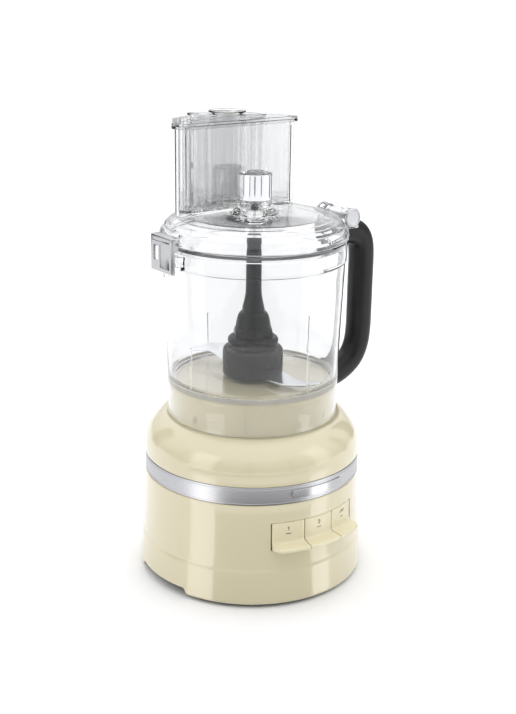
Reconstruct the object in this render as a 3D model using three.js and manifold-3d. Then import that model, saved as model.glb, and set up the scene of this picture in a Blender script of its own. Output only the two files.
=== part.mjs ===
// A full-size kitchen food processor, as separate pieces: motor base, work bowl with handle, blade set,
// hinged lid with a feed chute, latch and three nested pushers. Millimetres, +Z up, the controls face -Y,
// the handle is at +X.
import * as THREE from "three";
import { mergeVertices } from "three/addons/utils/BufferGeometryUtils.js";
import Module from "manifold-3d";

const wasm = await Module();
wasm.setup();

// ---- driving dimensions ----
const baseRadius = 110; // widest, just above the feet
const handleReach = 147.6; // spindle axis to the outside of the handle
const ledgeReach = 118; // spindle axis to the tip of the control ledges
const totalHeight = 440;

const feet = { height: 2.3, radius: 9, circle: 84 };
const housing = { bottom: 3, top: 101.6 };
const band = { bottom: 101.9, top: 119.3, radius: 104.1, inside: 101.3 };
const shoulder = { bottom: 119.6, top: 157.9 };
const pedestal = { radius: 77.8, top: 189.4 };
const bowl = { bottom: 158.3, floor: 190, floorTop: 193, step: 308, rim: 329, wall: 2.6, tubeTop: 221 };
const lid = { bottom: 329.5, flange: 88.3, top: 350.4, plugBottom: 321.5, plugRadius: 83 };
const turret = { radius: 16.3, shoulder: 363.2, top: 388.4, bore: 9.2, sleeveInside: 14.6 };
const chute = { top: 430.6, flange: 3, wall: 2.6, halfFront: 56.4, front: 19.5, corner: 10, back: 80 };
const hinge = { x: 102, z: 338, half: 20 };
const grip = { wide: 11.4, thick: 12.6 }; // half sizes of the handle's oval section
const latch = { pinX: -95.6, pinZ: 335, outerX: -103.4, half: 17, bottom: 308, top: 341 };
const panel = { bottom: 56.8, top: 84.4, buttonAngle: 17.8, gap: 0.9 };
const cordHeight = 36; // middle of the cord's inlet, at the back
const spindle = { radius: 5, bottom: 84, top: 243 };
const motor = { y: 52, radius: 35, bottom: 16, top: 92, shaft: 4 };
const pulley = { bottom: 103, top: 117, big: 38, small: 9.5 };
const cup = { x: 0, y: 44, radius: 14.4 }; // round pusher, on the axis of the oval one
const oval = { halfX: 40, halfY: 19 };

const clearance = 0.35; // between pieces that touch
const round = 36; // segments of a large turned piece
const fine = 20; // segments of a middling one
const small = 12; // segments of a pin or screw

// ---- materials ----
const material = (color, roughness, metalness = 0, opacity = 1) =>
  new THREE.MeshStandardMaterial({ color, roughness, metalness, opacity, transparent: opacity < 1 });
const cream = material(0xe9dfbb, 0.25);
const clear = material(0xe6eaec, 0.08, 0, 0.3);
const black = material(0x2b2b2c, 0.5);
const chrome = material(0xd8d8d8, 0.12, 1);
const brushed = material(0xa9aaae, 0.35, 1);
const steel = material(0xb4b6b8, 0.25, 1);
const rubber = material(0x1b1b1c, 0.8);
const darkPlastic = material(0x3a3a3c, 0.6);
const copper = material(0xa8623a, 0.4, 1);
const board = material(0x2f5d3a, 0.6);
const silicone = material(0x8d9092, 0.5);

// ---- solids ----
function solid(geometry) {
  for (const name of ["normal", "uv"]) geometry.deleteAttribute(name);
  const merged = mergeVertices(geometry, 1e-4);
  const make = (triVerts) =>
    new wasm.Manifold(
      new wasm.Mesh({ numProp: 3, vertProperties: merged.attributes.position.array, triVerts }),
    );
  const triangles = new Uint32Array(merged.index.array);
  const made = make(triangles);
  return made.volume() > 0 ? made : make(triangles.reverse());
}

// A profile of [radius, z] points turned about the Z axis.
function turned(profile, segments = round) {
  const points = profile.map(([r, z]) => new THREE.Vector2(r, z));
  if (profile[0][0] > 0 || profile.at(-1)[0] > 0) points.push(points[0].clone());
  return solid(new THREE.LatheGeometry(points, segments).rotateX(Math.PI / 2));
}

function tube(inner, outer, bottom, top, segments = fine) {
  return turned([[inner, bottom], [outer, bottom], [outer, top], [inner, top]], segments);
}

function disc(radius, bottom, top, segments = fine) {
  return turned([[0, bottom], [radius, bottom], [radius, top], [0, top]], segments);
}

function extruded(shape, bottom, top, curveSegments = 8) {
  const options = { depth: top - bottom, bevelEnabled: false, curveSegments };
  return solid(new THREE.ExtrudeGeometry(shape, options).translate(0, 0, bottom));
}

// A box between two corners.
function block([x0, y0, z0], [x1, y1, z1]) {
  const size = new THREE.BoxGeometry(x1 - x0, y1 - y0, z1 - z0);
  return solid(size.translate((x0 + x1) / 2, (y0 + y1) / 2, (z0 + z1) / 2));
}

// A round bar along Y.
function barAlongY(radius, y0, y1, x, z, segments = small) {
  const bar = new THREE.CylinderGeometry(radius, radius, y1 - y0, segments);
  return solid(bar.translate(x, (y0 + y1) / 2, z));
}

// A wedge of a turned piece, between two angles measured from the front (-Y) towards +X, in degrees.
function wedge(from, to, reach, bottom, top) {
  const steps = 6;
  const shape = new THREE.Shape().moveTo(0, 0);
  for (let i = 0; i <= steps; i++) {
    const a = THREE.MathUtils.degToRad(from + ((to - from) * i) / steps);
    shape.lineTo(reach * Math.sin(a), -reach * Math.cos(a));
  }
  return extruded(shape, bottom, top);
}

const moved = (made, x, y, z = 0) => made.translate([x, y, z]);
const joined = (...solids) => solids.reduce((a, b) => a.add(b));
const cut = (made, ...cutters) => cutters.reduce((a, b) => a.subtract(b), made);

const product = new THREE.Group();

function add(name, made, finish) {
  const mesh = made.getMesh();
  const geometry = new THREE.BufferGeometry();
  geometry.setAttribute("position", new THREE.BufferAttribute(mesh.vertProperties, 3));
  geometry.setIndex(new THREE.BufferAttribute(mesh.triVerts, 1));
  geometry.computeVertexNormals();
  const piece = new THREE.Mesh(geometry, finish);
  piece.name = name;
  product.add(piece);
}

// Places for things spaced evenly on a circle, starting at an angle in degrees from +X.
function onCircle(count, radius, start = 0) {
  return Array.from({ length: count }, (_, i) => {
    const a = THREE.MathUtils.degToRad(start + (360 / count) * i);
    return [radius * Math.cos(a), radius * Math.sin(a)];
  });
}

// ---- motor base ----
const screwPlaces = onCircle(4, 98.6, 36);
const footPlaces = onCircle(4, feet.circle, 45);

function baseHousing() {
  const outside = [
    [107.4, housing.bottom], [109.5, 4.4], [baseRadius, 7], [109.4, 15], [108.4, 29], [107.8, 36.6],
    [106.7, 39.2], [106.1, 52], [105.6, 68], [105, 86], [104.3, housing.top],
  ];
  const collar = [[101, housing.top], [101, 110], [98, 110], [98, 100]];
  const inside = [[102, 84], [102.8, 52], [103.8, 39], [105.6, 30], [106.4, 8], [106, housing.bottom]];
  const posts = screwPlaces.map(([x, y]) => moved(disc(7.4, 7, 34, small), x, y));
  const grip = new THREE.Shape()
    .moveTo(-37, 0).lineTo(37, 0).lineTo(33, 10.4).lineTo(-33, 10.4).closePath();
  const gripCut = solid(
    new THREE.ExtrudeGeometry(grip, { depth: 300, bevelEnabled: false })
      .translate(0, 0, -150).rotateX(Math.PI / 2).rotateZ(Math.PI / 2),
  );
  const halfPanel = 1.5 * panel.buttonAngle + 0.4;
  const window = wedge(-halfPanel, halfPanel, 130, panel.bottom, panel.top);
  const cordHole = barAlongY(8.4, 90, 120, 0, cordHeight, 16);
  const screwHoles = screwPlaces.map(([x, y]) => moved(disc(1.7, 5, 26, 8), x, y));
  const shell = joined(turned([...outside, ...collar, ...inside]), ...posts);
  return cut(shell, gripCut, window, cordHole, ...screwHoles);
}

function shoulderCap() {
  const outside = [
    [104.2, shoulder.bottom], [104.4, 124], [104.2, 130.5], [103, 137], [100.6, 143], [96.6, 148.8],
    [92, 153.6], [88, 156.6], [84.6, shoulder.top], [78.1, shoulder.top],
    [pedestal.radius, 186.4], [76, pedestal.top], [12, pedestal.top],
  ];
  const inside = [
    [12, 186.4], [74.6, 186.4], [75, 157], [76, 155.2], [86.6, 153.6], [94.6, 146.4], [100, 136.4],
    [101.4, 129], [101.4, 124], [98, 124], [98, 110.4], [101, 110.4], [101, shoulder.bottom],
  ];
  return turned([...outside, ...inside]);
}

function bottomCover() {
  const vents = onCircle(8, 54).map(([x, y]) => moved(disc(3.2, 0, 10, 8), x, y));
  const screwHoles = screwPlaces.map(([x, y]) => moved(disc(2.4, 0, 10, 12), x, y));
  const fingerRoom = [[-110, -97], [97, 110]].map(([x0, x1]) => block([x0, -38, 0], [x1, 38, 10]));
  return cut(disc(105.2, feet.height + clearance, 5.8, round), ...vents, ...screwHoles, ...fingerRoom);
}

function coverScrew(x, y) {
  const head = disc(3.8, 1, feet.height, 12);
  const shank = disc(1.5, 2, 22, 8);
  return moved(joined(head, shank), x, y);
}

// A blank nameplate on the front of the band.
function namePlate() {
  const ring = tube(104.45, 105.2, 106.2, 115, 96);
  return ring.intersect(wedge(-17, 17, 130, 100, 120));
}

// One L-shaped control: a curved face and a ledge to press, both between two radial planes.
function paddle(index, endChamfer) {
  const middle = index * panel.buttonAngle;
  const half = panel.buttonAngle / 2 - THREE.MathUtils.radToDeg(panel.gap / 2 / 105);
  const profile = [
    [101.2, 59.5], [103, 58.5], [107, 58.3], [116.6, 58.9], [ledgeReach, 60.2], [ledgeReach, 61.6],
    [117, 62.6], [108, 63.4], [106, 64.2], [105.3, 66], [105, 83.2], [104.4, 83.9], [101.2, 83.9],
  ];
  const blank = turned(profile, 120).intersect(wedge(middle - half, middle + half, 130, 50, 90));
  if (!endChamfer) return blank;
  // The outer corner of the end ledge is cut back at a slant.
  const edge = THREE.MathUtils.degToRad(middle + endChamfer * half);
  const side = new THREE.BoxGeometry(9, 30, 12).rotateZ(endChamfer * 0.62);
  side.rotateZ(edge).translate(119.5 * Math.sin(edge), -119.5 * Math.cos(edge), 60);
  return cut(blank, solid(side));
}

function microSwitch(index) {
  const a = THREE.MathUtils.degToRad(index * panel.buttonAngle);
  const body = new THREE.BoxGeometry(12, 7, 9).translate(0, -92.6, 64).rotateZ(a);
  return solid(body);
}

function switchBoard() {
  return block([-44, -81.4, 52], [44, -79.8, 90]);
}

function cordGland() {
  const profile = [[4.2, 90], [8, 90], [8, 108.9], [10, 108.9], [9.6, baseRadius], [4.2, baseRadius]];
  const lathe = new THREE.LatheGeometry(
    [...profile, profile[0]].map(([r, y]) => new THREE.Vector2(r, y)), 16,
  );
  return solid(lathe.translate(0, 0, cordHeight));
}

add("base_housing", baseHousing(), cream);
add("shoulder_cap", shoulderCap(), cream);
add("trim_band", tube(band.inside, band.radius, band.bottom, band.top, round), brushed);
add("name_plate", namePlate(), chrome);
add("bottom_cover", bottomCover(), darkPlastic);
footPlaces.forEach(([x, y], i) =>
  add(`foot_${i + 1}`, moved(turned([[0, 0], [8, 0], [feet.radius, 0.8], [feet.radius, feet.height],
    [0, feet.height]], fine), x, y), rubber));
screwPlaces.forEach(([x, y], i) => add(`cover_screw_${i + 1}`, coverScrew(x, y), steel));
add("paddle_low", paddle(-1, -1), cream);
add("paddle_high", paddle(0, 0), cream);
add("paddle_pulse", paddle(1, 1), cream);
add("switch_board", switchBoard(), board);
["low", "high", "pulse"].forEach((name, i) => add(`switch_${name}`, microSwitch(i - 1), darkPlastic));
add("cord_gland", cordGland(), darkPlastic);

// ---- drive ----
function motorPlate() {
  const plate = disc(96, 94, 97.5, fine);
  const shaftHole = moved(disc(11, 90, 100), 0, motor.y);
  return cut(plate, shaftHole, disc(12, 90, 100));
}

function motorStator() {
  return moved(tube(18, motor.radius, motor.bottom, motor.top), 0, motor.y);
}

function motorRotor() {
  const profile = [
    [0, 12], [motor.shaft, 12], [motor.shaft, 24], [16.5, 26], [16.5, 82], [motor.shaft, 84],
    [motor.shaft, 116], [0, 116],
  ];
  return moved(turned(profile, fine), 0, motor.y);
}

function spindlePulley() {
  const profile = [
    [spindle.radius + 0.4, pulley.bottom], [pulley.big + 1.5, pulley.bottom], [pulley.big + 1.5, 104],
    [pulley.big - 1.5, 104.6], [pulley.big - 1.5, 115.4], [pulley.big + 1.5, 116],
    [pulley.big + 1.5, pulley.top], [spindle.radius + 0.4, pulley.top],
  ];
  return turned(profile, fine);
}

function motorPulley() {
  const profile = [
    [motor.shaft + 0.4, pulley.bottom], [pulley.small + 1, pulley.bottom], [pulley.small + 1, 104],
    [pulley.small - 1.5, 104.6], [pulley.small - 1.5, 115.4], [pulley.small + 1, 116],
    [pulley.small + 1, pulley.top], [motor.shaft + 0.4, pulley.top],
  ];
  return moved(turned(profile, fine), 0, motor.y);
}

// A flat belt around both pulleys, as a loop of two arcs and two tangents.
function belt() {
  const loop = (grow) => {
    const big = pulley.big - 1.5 + grow;
    const little = pulley.small - 1.5 + grow;
    const tilt = Math.asin((big - little) / motor.y);
    const shape = new THREE.Shape();
    shape.absarc(0, 0, big, Math.PI - tilt, tilt, false);
    shape.absarc(0, motor.y, little, tilt, Math.PI - tilt, false);
    return shape.closePath();
  };
  const band = { bottom: 105.2, top: 114.8 };
  const outside = extruded(loop(2), band.bottom, band.top, 10);
  return outside.subtract(extruded(loop(0.4), band.bottom - 1, band.top + 1, 10));
}

function spindleShaft() {
  return disc(spindle.radius, spindle.bottom, spindle.top, 24);
}

function bearingHousing() {
  return turned([
    [11.4, 121], [16, 121], [16, 160], [30, 178], [30, 186], [11.4, 186],
  ], fine);
}

const ballBearing = (bottom) => tube(spindle.radius + 0.3, 11, bottom, bottom + 8);

add("motor_plate", motorPlate(), steel);
add("motor_stator", motorStator(), copper);
add("motor_rotor", motorRotor(), steel);
add("motor_pulley", motorPulley(), darkPlastic);
add("spindle_pulley", spindlePulley(), darkPlastic);
add("drive_belt", belt(), rubber);
add("spindle_shaft", spindleShaft(), steel);
add("bearing_housing", bearingHousing(), brushed);
add("bearing_lower", ballBearing(123), steel);
add("bearing_upper", ballBearing(176), steel);
add("interlock_switch", block([58, -16, 166], [72, 4, 184]), darkPlastic);

// ---- work bowl ----
function workBowl() {
  const wall = bowl.wall;
  const outside = [
    [78.6, bowl.bottom], [81, bowl.bottom], [81.8, bowl.floorTop], [82.5, 228], [83.5, 257], [84.2, 275],
    [84.9, 292], [85.2, bowl.step], [86.6, bowl.step + 3], [86.9, bowl.rim],
  ];
  const inside = [
    [84.4, bowl.rim], [84.1, bowl.step + 3.5], [84.9 - wall, bowl.step], [83.5 - wall, 257], [82.5 - wall, 228],
    [81.8 - wall, 197], [76, bowl.floorTop], [12.6, bowl.floorTop], [12, bowl.tubeTop],
    [9.5, bowl.tubeTop], [9.5, bowl.floor], [78.4, bowl.floor],
  ];
  const shell = turned([...outside, ...inside]);
  const catchLug = block([-93.3, -12, 318], [-85, 12, 322]);
  const catchWeb = block([-90, -12, 310], [-85, 12, 319]);
  return joined(shell, catchLug, catchWeb).subtract(disc(84.2, bowl.step + 3.5, 340, round));
}

// The handle follows one curve in the XZ plane: out from the rim, down, and back in to the foot of the bowl.
function handleGrip() {
  const path = new THREE.CatmullRomCurve3(
    [
      [-49, 318], [-34, 320.2], [-20, 320.6], [-8.6, 317.2], [-2, 307.6], [0, 294], [0, 270],
      [0, 240], [-0.4, 217], [-3, 200.6], [-10, 187.8], [-22, 179.2], [-37, 173.8], [-56, 171.4],
    ].map(([x, z]) => new THREE.Vector3(handleReach - grip.thick + x, 0, z)), false, "centripetal",
  );
  const section = new THREE.Shape();
  section.absellipse(0, 0, grip.wide, grip.thick, 0, 2 * Math.PI, false, 0);
  const bar = solid(new THREE.ExtrudeGeometry(section, { steps: 26, extrudePath: path, curveSegments: 6 }));
  const bowlSpace = turned([
    [0, 140], [81.3, 140], [82.1, bowl.floorTop], [82.8, 228], [85.2, 292], [85.5, bowl.step],
    [86.9, bowl.step + 2.8], [87.3, bowl.rim + 1], [87.3, 345], [0, 345],
  ]);
  const knuckleSpace = barAlongY(10.2, -24, 24, hinge.x, hinge.z, fine);
  const bracketSpace = block([86, -22, 326.5], [116, 22, 345]);
  return cut(bar, bowlSpace, knuckleSpace, bracketSpace);
}

// Two ears that hold the hinge pin, on a saddle over the top of the handle.
function hingeBracket() {
  const saddle = block([92, -hinge.half, 326.9], [112, hinge.half, 330]);
  const ears = [[-hinge.half, -12.4], [12.4, hinge.half]].map(([y0, y1]) =>
    barAlongY(8.6, y0, y1, hinge.x, hinge.z, fine).add(block([94, y0, 327], [110, y1, hinge.z])));
  const pinHole = barAlongY(3.4, -30, 30, hinge.x, hinge.z);
  return cut(joined(saddle, ...ears), pinHole);
}

// A domed end cap, facing out along -Y (side -1) or +Y (side 1).
function hingeCap(side) {
  const face = hinge.half + clearance;
  const profile = [
    [0, face], [9.4, face], [9.4, face + 2.4], [8.6, face + 3.4], [7.4, face + 3], [0, face + 3.6],
  ];
  const lathe = new THREE.LatheGeometry(profile.map(([r, y]) => new THREE.Vector2(r, y)), fine);
  if (side < 0) lathe.rotateX(Math.PI);
  return solid(lathe.translate(hinge.x, 0, hinge.z));
}

add("work_bowl", workBowl(), clear);
add("handle_grip", handleGrip(), black);
add("hinge_bracket", hingeBracket(), clear);
add("hinge_pin", barAlongY(3, -hinge.half, hinge.half, hinge.x, hinge.z), steel);
add("hinge_cap_front", hingeCap(-1), chrome);
add("hinge_cap_rear", hingeCap(1), chrome);

// ---- blade set ----
function bladeHub() {
  return turned([
    [16.6, 194.6], [28.4, 194.6], [29, 196], [29, 218.6], [27.6, 221.4], [22.6, 223], [22.6, 226],
    [16.6, 226],
  ], 32);
}

// The collar above the hub: a flange, then a dome whose lower half is cut to six flats.
function lockCollar() {
  const dome = turned([
    [13.9, 226.4], [23.4, 226.4], [24.2, 228], [24.2, 230.4], [22.4, 232], [20.6, 232.6], [19.6, 236],
    [17.2, 240], [16.4, 246], [15, 252], [13, 255.4], [11.3, 256.4], [11.3, 253], [13.9, 250],
  ], fine);
  const hexagon = turned([[0, 231.9], [20.6, 231.9], [19.4, 240], [24, 246], [0, 246]], 6);
  const flats = tube(10, 40, 232, 241, 12).subtract(hexagon);
  return dome.subtract(flats);
}

// A bell that turns on the bowl's centre tube, topped by the tall stem that reaches into the lid.
function driveAdapter() {
  const outside = [
    [12.9, 197], [16.2, 197], [16.2, 226], [13.5, 226], [13.5, 250], [10.9, 252], [10.8, 257],
    [10.2, 262], [8.8, 267], [7.8, 272], [7.5, 278], [7.3, 310], [7.1, 325], [6, 326], [0, 326],
  ];
  const inside = [[0, 246], [5.35, 246], [5.35, 224], [12.9, 222]];
  return turned([...inside, ...outside], fine);
}

// The steel tip of the stem: a thin pin with a black cap that runs in the lid's turret.
const stemPin = () => disc(2, 326.3, 352, small);
const stemCap = () => disc(3.4, 352.3, 358.6, fine);

// A sickle blade in plan: leading edge and back edge are arcs that meet at the tip.
function blade(height, tilt, turn) {
  const outline = new THREE.Shape().moveTo(27, -13);
  outline.quadraticCurveTo(58, -18, 74, 8);
  outline.quadraticCurveTo(75, 14, 70, 15);
  outline.quadraticCurveTo(50, 2, 27, 13).closePath();
  const plate = new THREE.ExtrudeGeometry(outline, { depth: 1.8, bevelEnabled: false, curveSegments: 8 });
  plate.rotateX(tilt).translate(0, 0, height).rotateZ(turn);
  return solid(plate).subtract(disc(29.35, 190, 240, 32));
}

add("blade_hub", bladeHub(), black);
add("lock_collar", lockCollar(), black);
add("drive_adapter", driveAdapter(), black);
add("stem_pin", stemPin(), steel);
add("stem_cap", stemCap(), black);
add("blade_lower", blade(197.4, 0.06, THREE.MathUtils.degToRad(-78)), steel);
add("blade_upper", blade(206, -0.25, THREE.MathUtils.degToRad(102)), steel);

// ---- lid ----
// The chute's outline, grown by a distance: the hull of two front corners and an arc about the spindle axis.
function chuteOutline(grow) {
  const points = [];
  const arc = (x, y, r, from, to, steps) => {
    for (let i = 0; i <= steps; i++) {
      const a = THREE.MathUtils.degToRad(from + ((to - from) * i) / steps);
      points.push(new THREE.Vector2(x + (r + grow) * Math.cos(a), y + (r + grow) * Math.sin(a)));
    }
  };
  const { halfFront, front, corner, back } = chute;
  arc(-halfFront, front + corner, corner, 150, 270, 6);
  arc(halfFront, front + corner, corner, -90, 30, 6);
  arc(0, 0, back, 58, 122, 9);
  return new THREE.Shape(hull(points));
}

// Convex hull, anticlockwise.
function hull(points) {
  const sorted = [...points].sort((a, b) => a.x - b.x || a.y - b.y);
  const half = (list) => {
    const kept = [];
    for (const p of list) {
      while (kept.length > 1) {
        const [a, b] = kept.slice(-2);
        if ((b.x - a.x) * (p.y - a.y) - (b.y - a.y) * (p.x - a.x) > 1e-6) break;
        kept.pop();
      }
      kept.push(p);
    }
    return kept.slice(0, -1);
  };
  return [...half(sorted), ...half(sorted.reverse())];
}

const chuteSolid = (grow, bottom, top) => extruded(chuteOutline(grow), bottom, top);

function lidDome() {
  const outside = [
    [lid.plugRadius, lid.plugBottom], [lid.plugRadius, lid.bottom + 0.5], [84, lid.bottom],
    [lid.flange, lid.bottom], [lid.flange, 333.6], [87.4, 336], [85.6, 338.6], [82.6, 342.6],
    [78.6, 346.2], [73, 348.8], [64, 350], [turret.radius, lid.top], [turret.radius, turret.shoulder],
    [turret.sleeveInside - clearance, turret.shoulder], [turret.sleeveInside - clearance, turret.top],
    [0, turret.top],
  ];
  const inside = [
    [0, 384], [turret.bore, 384], [turret.bore, 346], [22, 346], [64, 346.6], [72, 345.2],
    [77, 342.4], [80.4, 338], [80.6, lid.plugBottom],
  ];
  return turned([...inside, ...outside]);
}

function clearLid() {
  const chuteBody = chuteSolid(0, 346.6, chute.top).add(chuteSolid(chute.flange, chute.top - 2.6, chute.top));
  const latchArm = block([-96, -9, 331], [-84, 9, 334]).add(barAlongY(3.3, -9, 9, latch.pinX, latch.pinZ));
  const hingeArm = block([84, -11.6, 330.2], [hinge.x, 11.6, 334])
    .add(barAlongY(7.6, -11.6, 11.6, hinge.x, hinge.z, fine));
  const solidLid = joined(lidDome(), chuteBody, latchArm, hingeArm);
  const pinHoles = [
    barAlongY(3.5, -13, 13, hinge.x, hinge.z), barAlongY(1.7, -13, 13, latch.pinX, latch.pinZ, 12),
  ];
  return cut(solidLid, chuteSolid(-chute.wall, 330, chute.top + 1), ...pinHoles);
}

add("clear_lid", clearLid(), clear);
add("lid_seal", tube(lid.plugRadius + 0.3, 83.9, 324, 327.4, round), silicone);
const sleeveHeights = [turret.shoulder + clearance, turret.top - 1];
add("turret_sleeve", tube(turret.sleeveInside, turret.radius, ...sleeveHeights, 32), chrome);
add("turret_bush", tube(7.6, 8.8, 352.6, 362, fine), brushed);

// ---- latch ----
function latchBody() {
  const { outerX, half, bottom, top } = latch;
  const shell = block([outerX, -half, bottom], [-93.4, half, top]);
  const pocket = block([-101.6, 2.4 - half, bottom - 2], [-90, half - 2.4, top - 2.2]);
  const sideTrim = block([-100, -half - 1, bottom - 2], [-90, half + 1, 329]);
  const nose = block([-101.8, -10, 313], [-93.9, 10, 316.6]);
  const slot = block([-110, 4, 318], [-100, 12, 332]);
  const pinHole = barAlongY(1.8, -30, 30, latch.pinX, latch.pinZ, 12);
  return cut(joined(cut(shell, pocket, sideTrim), nose), slot, pinHole);
}

add("latch_lever", latchBody(), brushed);
add("latch_pin", barAlongY(1.4, -latch.half, latch.half, latch.pinX, latch.pinZ, 12), steel);

// ---- pushers ----
const pusherBottom = 352;
const wideTop = chute.top + 2; // upper face of the wide pusher's flange
const rimRise = 0.0535; // the oval pusher's rim climbs towards its left end, where fingers lift it

function ovalShape(grow) {
  const shape = new THREE.Shape();
  shape.absellipse(cup.x, cup.y, oval.halfX + grow, oval.halfY + grow, 0, 2 * Math.PI, false, 0);
  return shape;
}

const ovalSolid = (grow, bottom, top) => extruded(ovalShape(grow), bottom, top, 12);
const cupSolid = (radius, bottom, top) => moved(disc(radius, bottom, top), cup.x, cup.y);

// An oval slab whose faces climb towards -X; the heights hold at its right end.
function climbingOval(grow, bottom, top) {
  const options = { depth: top - bottom, bevelEnabled: false, curveSegments: 12 };
  const slab = new THREE.ExtrudeGeometry(ovalShape(grow), options).translate(0, 0, bottom);
  const climb = new THREE.Matrix4().set(
    1, 0, 0, 0,
    0, 1, 0, 0,
    -rimRise, 0, 1, rimRise * (oval.halfX + 2),
    0, 0, 0, 1,
  );
  return solid(slab.applyMatrix4(climb));
}

// The wide pusher fills the chute: an open box with its own oval well and a flange that rests on the chute.
function widePusher() {
  const inset = -chute.wall - 0.8;
  const flange = chuteSolid(chute.flange, chute.top + clearance, wideTop);
  const outside = chuteSolid(inset, pusherBottom, wideTop - 1).add(flange);
  const hollow = chuteSolid(inset - 2.2, pusherBottom + 2.4, 450);
  const well = ovalSolid(2.2, pusherBottom, wideTop);
  return outside.subtract(hollow).add(well).subtract(ovalSolid(0, 340, 450));
}

// The oval pusher stands in the well, and has a round well of its own.
function ovalPusher() {
  const outside = ovalSolid(-0.5, pusherBottom, wideTop + 1)
    .add(climbingOval(-0.5, wideTop - 6, wideTop + 1.4))
    .add(climbingOval(3, wideTop + clearance, wideTop + 2));
  const hollow = ovalSolid(-2.7, pusherBottom + 2.4, 450);
  const well = cupSolid(cup.radius + 2.8, pusherBottom, wideTop + 3);
  return outside.subtract(hollow).add(well).subtract(cupSolid(cup.radius + 0.6, 340, 450));
}

// The round pusher is also a small cup.
function roundPusher() {
  const rimBottom = totalHeight - 1.9;
  const profile = [
    [0, pusherBottom], [cup.radius, pusherBottom], [cup.radius, rimBottom], [17.4, rimBottom],
    [17.8, rimBottom + 0.8], [17.4, totalHeight], [15, totalHeight], [12.8, rimBottom + 0.5],
    [12.2, rimBottom - 2], [12.2, pusherBottom + 2.4], [0, pusherBottom + 2.4],
  ];
  return moved(turned(profile, 28), cup.x, cup.y);
}

add("pusher_wide", widePusher(), clear);
add("pusher_oval", ovalPusher(), clear);
add("pusher_round", roundPusher(), clear);

// The origin is the middle of the object's outline on the table, so the spindle axis stands off it.
const outline = new THREE.Box3().setFromObject(product);
product.position.set(-(outline.min.x + outline.max.x) / 2, -(outline.min.y + outline.max.y) / 2, 0);

export default product;
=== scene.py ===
import math

import bmesh
import bpy
from mathutils import Matrix, Vector


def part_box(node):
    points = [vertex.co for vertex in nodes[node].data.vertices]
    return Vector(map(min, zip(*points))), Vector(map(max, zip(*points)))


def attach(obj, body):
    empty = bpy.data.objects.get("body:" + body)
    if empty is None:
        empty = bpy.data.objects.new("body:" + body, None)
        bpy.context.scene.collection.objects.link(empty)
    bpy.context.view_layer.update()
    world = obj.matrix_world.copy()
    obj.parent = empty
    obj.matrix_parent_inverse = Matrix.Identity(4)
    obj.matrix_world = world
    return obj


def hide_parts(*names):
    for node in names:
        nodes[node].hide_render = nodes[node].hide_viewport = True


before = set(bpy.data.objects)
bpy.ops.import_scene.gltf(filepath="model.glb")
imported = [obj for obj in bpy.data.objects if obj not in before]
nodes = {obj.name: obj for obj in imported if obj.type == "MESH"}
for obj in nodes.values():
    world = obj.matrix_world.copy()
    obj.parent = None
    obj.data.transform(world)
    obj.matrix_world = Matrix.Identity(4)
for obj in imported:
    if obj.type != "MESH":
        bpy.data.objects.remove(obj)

print("food processor: frame loaded")

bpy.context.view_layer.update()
shaftLow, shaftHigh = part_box("spindle_shaft")
spindle = (shaftLow + shaftHigh) / 2  # everything round is turned about this line
mm = 0.001


# ------- mesh helpers: all lengths below are millimetres, measured from the spindle axis and the worktop

def toFrame(point):
    x, y, z = point
    return Vector((spindle.x + x * mm, spindle.y + y * mm, z * mm))


def newPiece(name, verts, faces, smoothAngle=32):
    mesh = bpy.data.meshes.new(name)
    mesh.from_pydata([toFrame(v) for v in verts], [], faces)
    bm = bmesh.new()
    bm.from_mesh(mesh)
    bmesh.ops.remove_doubles(bm, verts=bm.verts, dist=1e-6)
    bmesh.ops.recalc_face_normals(bm, faces=bm.faces)
    bm.to_mesh(mesh)
    bm.free()
    piece = bpy.data.objects.new(name, mesh)
    bpy.context.scene.collection.objects.link(piece)
    shadeSoft(piece, smoothAngle)
    return piece


def shadeSoft(piece, smoothAngle=32):
    for poly in piece.data.polygons:
        poly.use_smooth = True
    piece.data.set_sharp_from_angle(angle=math.radians(smoothAngle))


def rounded(points, closed=True, steps=4):
    # each corner is (a, b) or (a, b, radius): a corner with a radius becomes a small arc
    made = []
    count = len(points)
    for i, p in enumerate(points):
        radius = p[2] if len(p) > 2 else 0
        here = Vector(p[:2])
        if radius <= 0 or (not closed and i in (0, count - 1)):
            made.append(tuple(here))
            continue
        toLast = Vector(points[i - 1][:2]) - here
        toNext = Vector(points[(i + 1) % count][:2]) - here
        if toLast.length < 1e-6 or toNext.length < 1e-6:
            made.append(tuple(here))
            continue
        half = toLast.angle(toNext) / 2
        if half < 0.02 or half > 1.55:
            made.append(tuple(here))
            continue
        reach = min(radius / math.tan(half), toLast.length * 0.48, toNext.length * 0.48)
        start = here + toLast.normalized() * reach
        end = here + toNext.normalized() * reach
        for k in range(steps + 1):
            t = k / steps
            made.append(tuple(start.lerp(here, t).lerp(here.lerp(end, t), t)))
    return made


def turned(name, profile, steps=160, about=(0, 0), smoothAngle=32, arcs=4):
    # a closed (radius, height) profile spun about a vertical line; points on the axis become poles
    ring = rounded(profile, True, arcs)
    verts, faces, rows = [], [], []
    for r, z in ring:
        if r < 1e-6:
            rows.append([len(verts)] * steps)
            verts.append((about[0], about[1], z))
            continue
        rows.append(list(range(len(verts), len(verts) + steps)))
        for k in range(steps):
            a = 2 * math.pi * k / steps
            verts.append((about[0] + r * math.cos(a), about[1] + r * math.sin(a), z))
    for i in range(len(rows)):
        low, top = rows[i], rows[(i + 1) % len(rows)]
        for k in range(steps):
            n = (k + 1) % steps
            corners = [low[k], low[n], top[n], top[k]]
            face = [v for j, v in enumerate(corners) if v != corners[j - 1]]
            if len(set(face)) > 2:
                faces.append(face)
    return newPiece(name, verts, faces, smoothAngle)


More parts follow.
